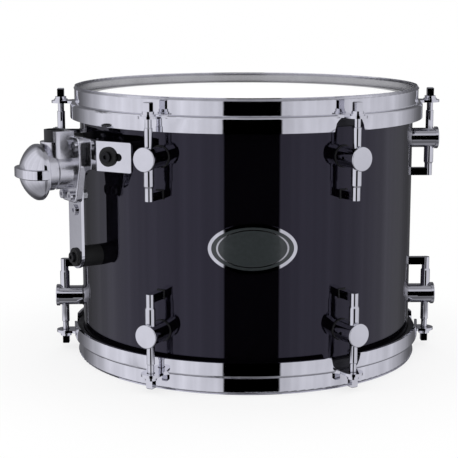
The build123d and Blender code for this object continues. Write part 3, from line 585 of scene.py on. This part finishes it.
class TOM_OT_stage(bpy.types.Operator):
    """Makes the camera, the floor and the studio's light"""
    bl_idname = "tom.stage"
    bl_label = "Stage"

    def execute(self, context):
        scene = context.scene
        scene.view_settings.view_transform = "Standard"
        self.make_camera(scene)
        self.make_floor(scene)
        self.make_world(scene)
        return {"FINISHED"}

    def make_camera(self, scene):
        s = studio()
        data = bpy.data.cameras.new("studio_camera")
        data.lens = s.lens
        data.clip_start = 0.05
        camera = bpy.data.objects.new("studio_camera", data)
        scene.collection.objects.link(camera)
        camera.location = (
            -s.distance * math.sin(s.swing), -s.distance * math.cos(s.swing), s.height)
        camera.rotation_euler = Euler((math.pi / 2 - s.pitch, 0, s.turn - s.swing))
        scene.camera = camera

    def make_floor(self, scene):
        s = studio()
        half = s.floor_size / 2
        mesh = bpy.data.meshes.new("floor")
        corners = [(-half, -half, 0), (half, -half, 0), (half, half, 0), (-half, half, 0)]
        mesh.from_pydata(corners, [], [(0, 1, 2, 3)])
        floor = bpy.data.objects.new("floor", mesh)
        scene.collection.objects.link(floor)
        material = bpy.data.materials.new("pale_floor")
        material.use_nodes = True
        tree = Tree(material.node_tree)
        place = tree.place()
        cloud = tree.noise(place, 3.0)
        colour = tree.blend(cloud, (0.90, 0.90, 0.90), (0.92, 0.92, 0.92))
        diffuse = tree.add("ShaderNodeBsdfDiffuse", None, Color=colour)
        white = tree.add("ShaderNodeEmission", None, Strength=1.0)
        ray = tree.add("ShaderNodeLightPath")
        away = tree.radius(place)
        fade = tree.spread(away, s.shadow_reach, 2 * s.shadow_reach, s.floor_lift, 1.0, True)
        lift = tree.math("MULTIPLY", ray.outputs["Is Camera Ray"], fade)
        mixed = tree.add("ShaderNodeMixShader")
        tree.put(mixed.inputs[0], lift)
        tree.put(mixed.inputs[1], diffuse.outputs[0])
        tree.put(mixed.inputs[2], white.outputs[0])
        clear = tree.add("ShaderNodeBsdfTransparent")
        seen = tree.add("ShaderNodeMixShader")
        tree.put(seen.inputs[0], ray.outputs["Is Glossy Ray"])
        tree.put(seen.inputs[1], mixed.outputs[0])
        tree.put(seen.inputs[2], clear.outputs[0])
        tree.add("ShaderNodeOutputMaterial", None, Surface=seen.outputs[0])
        mesh.materials.append(material)

    def make_world(self, scene):
        """White to the camera; two soft boxes for the plating; an even dome for the rest."""
        s = studio()
        world = bpy.data.worlds.new("studio")
        world.use_nodes = True
        scene.world = world
        tree = Tree(world.node_tree)
        x, y, z = tree.axes(tree.add("ShaderNodeTexCoord").outputs["Generated"])
        azimuth = self.azimuth(tree, x, y, s.gap_middle - s.swing)
        height = tree.math("ARCSINE", z)
        shine = self.soft_boxes(tree, azimuth, height)
        dome = tree.spread(height, math.radians(-30), math.radians(60), s.dome_low, s.dome_high)
        ray = tree.add("ShaderNodeLightPath")
        glossy = ray.outputs["Is Glossy Ray"]
        lit = tree.math("ADD", tree.math("MULTIPLY", shine, glossy),
                        tree.math("MULTIPLY", dome, tree.math("SUBTRACT", 1.0, glossy)))
        shown = tree.math("MAXIMUM", lit, ray.outputs["Is Camera Ray"])
        shown = tree.math("MAXIMUM", shown, ray.outputs["Is Transmission Ray"])
        background = tree.add("ShaderNodeBackground", None, Strength=shown)
        tree.put(background.inputs["Color"], tree.blend(glossy, (1, 1, 1), s.box_colour))
        tree.add("ShaderNodeOutputWorld", None, Surface=background.outputs[0])

    def azimuth(self, tree, x, y, middle):
        """Level angle from the gap's middle, growing to the right."""
        ahead = tree.math("SUBTRACT", tree.math("MULTIPLY", x, math.sin(middle)),
                          tree.math("MULTIPLY", y, math.cos(middle)))
        aside = tree.math("ADD", tree.math("MULTIPLY", x, math.cos(middle)),
                          tree.math("MULTIPLY", y, math.sin(middle)))
        return tree.math("ARCTAN2", aside, ahead)

    def soft_boxes(self, tree, azimuth, height):
        """Brightness of the two boxes: folds, dimmer edges, and the dark gap between them."""
        s = studio()
        away = tree.math("ABSOLUTE", azimuth)
        side = tree.spread(azimuth, 0.0, math.radians(60), s.left_box, s.right_box)
        behind = tree.spread(away, math.radians(100), math.radians(148), 1.0, s.back_light, True)
        low = tree.spread(height, math.radians(-50), math.radians(-15), s.low_light, 1.0, True)
        high = tree.spread(height, math.radians(44), math.radians(58), 1.0, s.top_light, True)
        boxes = tree.math("MULTIPLY", tree.math("MULTIPLY", side, behind),
                          tree.math("MULTIPLY", low, high))
        edge = tree.spread(away, s.gap, s.gap + math.radians(22), s.box_edge, 1.0)
        along = tree.add("ShaderNodeCombineXYZ", None, X=azimuth).outputs[0]
        folds = tree.noise(along, s.streaks, 3.0)
        streaks = tree.spread(folds, 0.35, 0.65, 1.0 - s.streak_depth, 1.05)
        boxes = tree.math("MULTIPLY", boxes, tree.math("MULTIPLY", edge, streaks))
        beside = tree.spread(away, s.gap - s.gap_edge, s.gap + s.gap_edge)
        above = tree.spread(height, s.gap_top - s.gap_edge, s.gap_top + s.gap_edge)
        under = tree.spread(height, s.gap_bottom - s.gap_edge, s.gap_bottom + s.gap_edge, 0.5, 0.0)
        clear = tree.math("MAXIMUM", beside, tree.math("MAXIMUM", above, under))
        return tree.math("MULTIPLY", boxes, clear)


class TOM_OT_shell(bpy.types.Operator):
    """Finishes the shell and its vent"""
    bl_idname = "tom.shell"
    bl_label = "Shell"

    def execute(self, context):
        dress(["shell"], lacquer_material(look()))
        dress(["vent_grommet"], chrome_material("vent_plate"))
        return {"FINISHED"}


class TOM_OT_heads(bpy.types.Operator):
    """Finishes both heads"""
    bl_idname = "tom.heads"
    bl_label = "Heads"

    def execute(self, context):
        dress(["batter_film"], coated_film_material(look()))
        dress(["resonant_film"], clear_film_material())
        # Painted shade: the flesh hoops are made near black, standing in for the shade and dark
        # reflections they show under the hoop's rim.
        rolled = turned_material("flesh_hoop_painted_shade", (0.05, 0.05, 0.055), 0.38)
        dress(both_ends("flesh_hoop"), rolled)
        return {"FINISHED"}


class TOM_OT_hoops(bpy.types.Operator):
    """Makes both hoops with their narrow rim and wide gaps over the lugs"""
    bl_idname = "tom.hoops"
    bl_label = "Hoops"

    # The rim fills this much of the hoop's height
    RIM = 0.003
    # What lies further outside the wall than this is skirt, ears or shoulder
    SKIRT_STEP = 0.001
    # Below the hoop's seat the gaps' widening grows to the full over this height
    OPENING = 0.004
    # Along the skirt it ends this far from a rod, and fades over this much before that
    WIDENED_TO = 0.030
    FADES_OVER = 0.017

    def execute(self, context):
        self.forms = forms()
        self.cad_lip = self.rim_radius() - self.forms.wall_radius
        material = hoop_material(look())
        for end in ("batter", "resonant"):
            name = f"{end}_hoop_sheet"
            mesh = reshaped(name, f"{end}_hoop", self.move)
            add_piece(name, mesh, material, f"{end}_head", "chrome", f"{end}_hoop")
        return {"FINISHED"}

    def move(self, point):
        """A point of either hoop, measured as if on the batter side."""
        wall = self.forms.wall_radius
        height = max(point.z, 2 * MIDDLE - point.z)
        radius = math.hypot(point.x, point.y)
        azimuth = math.atan2(point.x, -point.y)
        if radius > wall and height > TOP - self.RIM:
            radius = wall + (radius - wall) * self.forms.lip / self.cad_lip
            radius -= self.rounded_off(height)
        if radius > wall + self.SKIRT_STEP and height < HOOP_SEAT:
            azimuth += self.widening(radius, azimuth, height) / radius
        return radius * outwards(azimuth) + Vector((0, 0, point.z))

    def rounded_off(self, height):
        """How far the rim's rounded edge falls back at a height."""
        edge = self.forms.round_over
        rise = max(0.0, (height - TOP + edge) / edge)
        return edge * (1 - math.sqrt(max(0.0, 1 - rise**2)))

    def widening(self, radius, azimuth, height):
        """How far a point of the skirt moves aside from the nearest rod."""
        rod = min(ROD_AZIMUTHS, key=lambda a: abs(self.turn(azimuth - a)))
        aside = self.turn(azimuth - rod) * radius
        opened = min(1.0, (HOOP_SEAT - height) / self.OPENING)
        near = min(1.0, max(0.0, (self.WIDENED_TO - abs(aside)) / self.FADES_OVER))
        return math.copysign(self.forms.notch_widening * opened * near, aside)

    def turn(self, angle):
        """The angle as its least turn, left or right."""
        return (angle + math.pi) % (2 * math.pi) - math.pi

    def rim_radius(self):
        """Radius of the CAD hoop's rim."""
        points = [point.co for point in NODES["batter_hoop"].data.vertices]
        return max(math.hypot(p.x, p.y) for p in points if p.z > TOP - self.RIM / 3)


class TOM_OT_lugs(bpy.types.Operator):
    """Makes the twelve lugs with the slimmer sleeve that stands out of each post"""
    bl_idname = "tom.lugs"
    bl_label = "Lugs"

    # Points this near a face count as on it
    SLACK = 0.0001

    def execute(self, context):
        offset = forms().post_offset
        material = chrome_material("lug_plate")
        for end, post, up in (("batter", TOP - offset, 1), ("resonant", offset, -1)):
            for number, azimuth in enumerate(ROD_AZIMUTHS, 1):
                node = f"{end}_lug_{number}"
                name = f"{node}_post"
                mesh = reshaped(name, node, self.slimmer(azimuth, post, up))
                add_piece(name, mesh, material, "drum", "chrome", node)
        return {"FINISHED"}

    def slimmer(self, azimuth, post, up):
        """Draws the tube above the post in towards the rod, its foot onto the round post."""
        f = forms()
        rod = ROD_R * outwards(azimuth)
        share = f.sleeve_radius / f.tube_radius
        lowest = math.sqrt(f.post_radius**2 - f.tube_radius**2)

        def move(point):
            above = up * (point.z - post)
            aside = Vector((point.x, point.y, 0)) - rod
            if above < lowest - 2 * self.SLACK or aside.length > f.tube_radius + self.SLACK:
                return point
            aside *= share
            if above < f.post_radius + self.SLACK:
                across = aside.dot(sideways(azimuth))
                above = math.sqrt(f.post_radius**2 - across**2)
            return rod + aside + Vector((0, 0, post + up * above))

        return move


class TOM_OT_hardware(bpy.types.Operator):
    """Finishes the rods, washers, inserts, gaskets and lug screws"""
    bl_idname = "tom.hardware"
    bl_label = "Rods and fasteners"

    def execute(self, context):
        rods = [f"rod_{number}" for number in range(1, len(ROD_AZIMUTHS) + 1)]
        dress(both_ends(*rods), chrome_material("rod_plate"))
        dress(both_ends("rod_washers"), chrome_material("washer_plate"))
        brass = turned_material("insert_brass_turned", (0.78, 0.56, 0.25), 0.25)
        dress(both_ends("lug_inserts"), brass)
        dress(both_ends("lug_gaskets"), rubber_material("gasket_rubber"))
        zinc = turned_material("fastener_zinc", (0.62, 0.63, 0.64), 0.32)
        dress(both_ends("lug_screws", "lug_washers"), zinc)
        return {"FINISHED"}


class TOM_OT_knob(bpy.types.Operator):
    """Makes the wing knob: a low dome with a straight grip standing out across it"""
    bl_idname = "tom.knob"
    bl_label = "Wing knob"

    # Flats round the dome, and from the rim up to the crown
    STEPS = 64
    RISE = 14
    # How much the rim's back edge and the grip's long edges are eased
    RIM_EDGE = 0.0005
    GRIP_EDGE = 0.0007
    # The grip's foot hides this far inside the rim
    GRIP_INSET = 0.0004
    # Share of the rim's radius that the crown keeps, and how full the shoulder is: 1 is a
    # plain arc, more is flatter and less is fuller
    DOME = (0.3, 1.43)
    GRIP = (0.12, 0.87)

    def execute(self, context):
        f = forms()
        shape = bmesh.new()
        self.dome(shape, f)
        self.handle(shape, f)
        bmesh.ops.recalc_face_normals(shape, faces=shape.faces)
        name = "clamp_knob_form"
        material = chrome_material("knob_plate", rough=0.06)
        add_piece(name, mesh_from(name, shape), material, "knob_body", "chrome", "clamp_knob")
        return {"FINISHED"}

    def at(self, along, across, up):
        """A point of the knob: along its axis, across its grip's length, and up."""
        return KNOB_BACK + along * CLAMP_AXIS + across * CLAMP_SIDE + Vector((0, 0, up))

    def side_line(self, f, top, crown_share, power):
        """(along, radius) from the rim to the crown, on a rounded shoulder."""
        crown = crown_share * f.knob_radius
        line = []
        for i in range(self.RISE + 1):
            angle = math.pi / 2 * i / self.RISE
            along = f.knob_rim + (top - f.knob_rim) * math.sin(angle) ** power
            line.append((along, crown + (f.knob_radius - crown) * math.cos(angle) ** power))
        return line

    def dome(self, shape, f):
        line = [(0.0, f.knob_radius - self.RIM_EDGE), (self.RIM_EDGE, f.knob_radius)]
        line += self.side_line(f, f.knob_length - f.knob_drop, *self.DOME)
        turns = [2 * math.pi * i / self.STEPS for i in range(self.STEPS)]
        closed_skin(shape, [
            [shape.verts.new(self.at(along, radius * math.cos(turn), radius * math.sin(turn)))
             for turn in turns]
            for along, radius in line])

    def handle(self, shape, f):
        """The grip: a rounded tongue standing out of the dome, its long edges eased."""
        outline = [(f.knob_rim / 2, f.knob_radius - self.GRIP_INSET)]
        outline += self.side_line(f, f.knob_length, *self.GRIP)
        outline += [(along, -across) for along, across in reversed(outline)]
        half = f.grip / 2
        flat = half - self.GRIP_EDGE
        rows = []
        for up, inset in ((-half, self.GRIP_EDGE), (-flat, 0), (flat, 0), (half, self.GRIP_EDGE)):
            shrink = 1 - inset / f.knob_radius
            rows.append([shape.verts.new(self.at(along - inset, across * shrink, up))
                         for along, across in outline])
        closed_skin(shape, rows)


class TOM_OT_bracket(bpy.types.Operator):
    """Finishes the bracket, its isolators and the clamp, and makes the tower's cheeks"""
    bl_idname = "tom.bracket"
    bl_label = "Bracket and clamp"

    # Flats in each of a cheek's two arcs
    CHEEK_STEPS = 6

    def execute(self, context):
        dress(["bracket_plate"], chrome_material("bracket_plate_plate"))
        casting = chrome_material("casting_plate", rough=0.16)
        dress(["receiver_housing"], casting)
        dress(["eye_bolt", "clamp_washer"], chrome_material("clamp_plate", rough=0.1))
        rubber = rubber_material()
        dress([f"bracket_isolator_{place}" for place in ("front", "rear", "lower")], rubber)
        dress(["arm_bush"], rubber_material("bush_nylon", (0.005, 0.005, 0.006), 0.35))
        zinc = turned_material("bracket_zinc", (0.62, 0.63, 0.64), 0.32)
        dress(["isolator_nuts", "receiver_nuts"], zinc)
        black = turned_material("sleeve_black_oxide", (0.02, 0.02, 0.022), 0.4)
        dress(["isolator_sleeves", "isolator_washers"], black)
        self.cheeks(casting)
        return {"FINISHED"}

    def cheeks(self, material):
        """Two curved walls that carry the tower's sides past the bush."""
        f = forms()
        low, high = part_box("arm_bush")
        bush = (low + high) / 2
        bush_radius = (high.x - low.x) / 2
        heights = (KNOB_BACK.z + f.cheek_bottom, KNOB_BACK.z + f.cheek_top)
        shape = bmesh.new()
        for hand in (-1, 1):
            outline = self.arc(f.tower_radius, hand) + self.arc(bush_radius, hand)[::-1]
            closed_skin(shape, [
                [shape.verts.new(Vector((bush.x, bush.y, height)) + a * CLAMP_AXIS + b * CLAMP_SIDE)
                 for a, b in outline]
                for height in heights])
        bmesh.ops.recalc_face_normals(shape, faces=shape.faces)
        add_piece("tower_cheeks", mesh_from("tower_cheeks", shape), material, "drum", "chrome")

    def arc(self, radius, hand):
        """(outwards, sideways) from beside the arm's axis to the cheek's reach."""
        start = math.pi / 2
        end = math.acos(forms().cheek_reach / radius)
        angles = [start + (end - start) * i / self.CHEEK_STEPS for i in range(self.CHEEK_STEPS + 1)]
        return [(radius * math.cos(angle), hand * radius * math.sin(angle)) for angle in angles]


class TOM_OT_screws(bpy.types.Operator):
    """Makes the bracket's screws with a hexagon socket in each head"""
    bl_idname = "tom.screws"
    bl_label = "Bracket screws"

    SOCKET_SIZES = ("Head Radius", "Head Height", "Shank Radius", "Socket Radius", "Socket Depth")
    # A socket's radius and depth as shares of the head's radius and height
    SOCKET_RADIUS = 0.45
    SOCKET_DEPTH = 0.62
    # Turns of the search for a screw's long axis
    AXIS_TURNS = 40
    # Points nearer the axis than this aren't the shank's, and those past this share of the
    # head's radius are its rim's
    ON_AXIS = 0.001
    ON_RIM = 0.98
    # The button's sizes besides its head's radius
    BUTTON = {"height": 0.0018, "shank": 0.0015, "reach": 0.005}

    def execute(self, context):
        tree = self.socket_screw_tree()
        chrome = chrome_material("screw_plate", rough=0.12)
        black = turned_material("screw_black_oxide", (0.03, 0.03, 0.032), 0.3)
        for node, material, slot in (("receiver_screws", chrome, "chrome"),
                                     ("isolator_screws", black, "zinc_steel")):
            self.make(tree, f"{node}_sockets", self.measure(node), material, slot, node)
        self.make(tree, "leg_button", [self.leg_button()], chrome, "chrome")
        return {"FINISHED"}

    def leg_button(self):
        """A button head over the slot in the bracket's leg."""
        f = forms()
        face = max(point.co.dot(CLAMP_AXIS) for point in NODES["bracket_plate"].data.vertices)
        seat = face * CLAMP_AXIS + Vector((0, 0, f.button_height))
        return {"seat": seat, "axis": CLAMP_AXIS, "head": f.button_radius, **self.BUTTON}

    def make(self, tree, name, screws, material, slot, *nodes):
        """One piece of several like screws, each on its own axis."""
        points = bpy.data.meshes.new(f"{name}_places")
        points.from_pydata([screw["seat"] for screw in screws], [], [])
        points.attributes.new("axis", "FLOAT_VECTOR", "POINT")
        points.attributes.new("reach", "FLOAT", "POINT")
        for index, screw in enumerate(screws):
            points.attributes["axis"].data[index].vector = screw["axis"]
            points.attributes["reach"].data[index].value = screw["reach"]
        holder = bpy.data.objects.new(f"{name}_holder", points)
        bpy.context.scene.collection.objects.link(holder)
        modifier = holder.modifiers.new("Screws", "NODES")
        modifier.node_group = tree
        sizes = self.sizes(screws[0])
        for item in tree.interface.items_tree:
            if item.in_out == "INPUT" and item.name in sizes:
                modifier[item.identifier] = sizes[item.name]
            elif item.name == "Material":
                modifier[item.identifier] = material
        graph = bpy.context.evaluated_depsgraph_get()
        mesh = bpy.data.meshes.new_from_object(holder.evaluated_get(graph), depsgraph=graph)
        bpy.data.objects.remove(holder)
        mesh.name = name
        smooth(mesh)
        add_piece(name, mesh, material, "drum", slot, *nodes)

    def sizes(self, screw):
        """The tree's inputs for a screw, by name."""
        numbers = (screw["head"], screw["height"], screw["shank"],
                   self.SOCKET_RADIUS * screw["head"], self.SOCKET_DEPTH * screw["height"])
        return dict(zip(self.SOCKET_SIZES, numbers))

    def measure(self, node):
        """Seat, axis and sizes of each screw in a CAD node, read from its loose pieces."""
        shape = merged(node)
        screws, seen = [], set()
        for start in shape.verts:
            if start in seen:
                continue
            group, waiting = [], [start]
            while waiting:
                point = waiting.pop()
                if point not in seen:
                    seen.add(point)
                    group.append(point.co.copy())
                    waiting += [edge.other_vert(point) for edge in point.link_edges]
            screws.append(self.measure_one(group))
        shape.free()
        return sorted(screws, key=lambda screw: tuple(screw["seat"]))

    def measure_one(self, points):
        axis = self.long_axis(points)
        heights = [point.dot(axis) for point in points]
        level = [point - height * axis for point, height in zip(points, heights)]
        low = Vector([min(point[i] for point in level) for i in range(3)])
        high = Vector([max(point[i] for point in level) for i in range(3)])
        centre = (low + high) / 2
        radii = [(point - centre).length for point in level]
        head = max(radii)
        shank = min(radius for radius in radii if radius > self.ON_AXIS)
        rim = self.ON_RIM * head
        seat = min(height for height, radius in zip(heights, radii) if radius > rim)
        return {"seat": centre + seat * axis, "axis": axis, "head": head, "shank": shank,
                "height": max(heights) - seat, "reach": seat - min(heights)}

    def long_axis(self, points):
        """The level direction in which a screw's points spread most, outwards."""
        middle = sum(points, Vector()) / len(points)
        offsets = [point - middle for point in points]
        axis = max(offsets, key=lambda offset: offset.length).normalized()
        for _ in range(self.AXIS_TURNS):
            axis = sum((offset.dot(axis) * offset for offset in offsets), Vector()).normalized()
        axis.z = 0
        axis.normalize()
        return axis if axis.dot(middle) > 0 else -axis

    def socket_screw_tree(self):
        """Screws on points: a round head, a hexagon socket in it and a plain shank."""
        group = bpy.data.node_groups.new("Socket Screws", "GeometryNodeTree")
        self.add_sockets(group.interface)
        tree = Tree(group)
        given = tree.add("NodeGroupInput").outputs
        heads = self.on_points(tree, given["Geometry"], self.head(tree, given), None)
        shank = tree.add("GeometryNodeMeshCylinder", None, Vertices=24,
                         Radius=given["Shank Radius"], Depth=1.0)
        hung = self.lifted(tree, shank.outputs["Mesh"], -0.5)
        reach = tree.add("GeometryNodeInputNamedAttribute", {"data_type": "FLOAT"}, Name="reach")
        stretch = tree.add("ShaderNodeCombineXYZ", None, X=1.0, Y=1.0, Z=reach.outputs[0])
        shanks = self.on_points(tree, given["Geometry"], hung, stretch.outputs[0])
        both = tree.add("GeometryNodeJoinGeometry")
        tree.put(both.inputs[0], heads)
        tree.put(both.inputs[0], shanks)
        real = tree.add("GeometryNodeRealizeInstances", None, Geometry=both.outputs[0])
        painted = tree.add("GeometryNodeSetMaterial", None, Geometry=real.outputs[0],
                           Material=given["Material"])
        tree.add("NodeGroupOutput", None, Geometry=painted.outputs[0])
        return group

    def add_sockets(self, interface):
        interface.new_socket("Geometry", in_out="INPUT", socket_type="NodeSocketGeometry")
        for name in self.SOCKET_SIZES:
            interface.new_socket(name, in_out="INPUT", socket_type="NodeSocketFloat")
        interface.new_socket("Material", in_out="INPUT", socket_type="NodeSocketMaterial")
        interface.new_socket("Geometry", in_out="OUTPUT", socket_type="NodeSocketGeometry")

    def head(self, tree, given):
        """A round head standing on its seat, with the socket cut into its top."""
        height = given["Head Height"]
        head = tree.add("GeometryNodeMeshCylinder", None, Vertices=40,
                        Radius=given["Head Radius"], Depth=height)
        raised = self.lifted(tree, head.outputs["Mesh"], tree.math("MULTIPLY", height, 0.5))
        socket = tree.add("GeometryNodeMeshCylinder", None, Vertices=6,
                          Radius=given["Socket Radius"], Depth=height)
        middle = tree.math("SUBTRACT", tree.math("MULTIPLY", height, 1.5), given["Socket Depth"])
        cutter = self.lifted(tree, socket.outputs["Mesh"], middle)
        cut = tree.add("GeometryNodeMeshBoolean", {"operation": "DIFFERENCE"})
        tree.put(cut.inputs[0], raised)
        tree.put(cut.inputs[1], cutter)
        return cut.outputs[0]

    def lifted(self, tree, mesh, height):
        move = tree.add("ShaderNodeCombineXYZ", None, Z=height)
        moved = tree.add("GeometryNodeTransform", None, Geometry=mesh, Translation=move.outputs[0])
        return moved.outputs[0]

    def on_points(self, tree, points, mesh, scale):
        axis = tree.add("GeometryNodeInputNamedAttribute", {"data_type": "FLOAT_VECTOR"}, Name="axis")
        turn = tree.add("FunctionNodeAlignRotationToVector", {"axis": "Z"}, Vector=axis.outputs[0])
        put = tree.add("GeometryNodeInstanceOnPoints", None, Points=points, Instance=mesh,
                       Rotation=turn.outputs[0], Scale=scale)
        return put.outputs[0]


class TOM_OT_badge(bpy.types.Operator):
    """Finishes the badge"""
    bl_idname = "tom.badge"
    bl_label = "Badge"

    def execute(self, context):
        dress(["badge_plate"], chrome_material("badge_rim_plate"))
        dress(["badge_inlay"], enamel_material(look()))
        return {"FINISHED"}


OPERATORS = (TOM_OT_stage, TOM_OT_shell, TOM_OT_heads, TOM_OT_hoops, TOM_OT_lugs, TOM_OT_hardware,
             TOM_OT_bracket, TOM_OT_screws, TOM_OT_knob, TOM_OT_badge)


class TOM_PT_panel(bpy.types.Panel):
    """Sizes, colours and steps of the rack tom"""
    bl_idname = "TOM_PT_panel"
    bl_label = "Rack Tom"
    bl_space_type = "VIEW_3D"
    bl_region_type = "UI"
    bl_category = "Rack Tom"

    def draw(self, context):
        for group in (context.scene.tom_look, context.scene.tom_forms, context.scene.tom_studio):
            box = self.layout.box()
            for name in group.__annotations__:
                box.prop(group, name)
        for operator in OPERATORS:
            self.layout.operator(operator.bl_idname)


CLASSES = (TomLook, TomForms, TomStudio, *OPERATORS, TOM_PT_panel)


def register():
    for cls in CLASSES:
        bpy.utils.register_class(cls)
    bpy.types.Scene.tom_look = PointerProperty(type=TomLook)
    bpy.types.Scene.tom_forms = PointerProperty(type=TomForms)
    bpy.types.Scene.tom_studio = PointerProperty(type=TomStudio)


def unregister():
    del bpy.types.Scene.tom_studio
    del bpy.types.Scene.tom_forms
    del bpy.types.Scene.tom_look
    for cls in reversed(CLASSES):
        bpy.utils.unregister_class(cls)


def main():
    register()
    bpy.ops.tom.stage()
    bpy.ops.tom.shell()
    bpy.ops.tom.heads()
    bpy.ops.tom.hoops()
    bpy.ops.tom.lugs()
    bpy.ops.tom.hardware()
    bpy.ops.tom.bracket()
    bpy.ops.tom.screws()
    bpy.ops.tom.knob()
    bpy.ops.tom.badge()


if __name__ == "__main__":
    main()
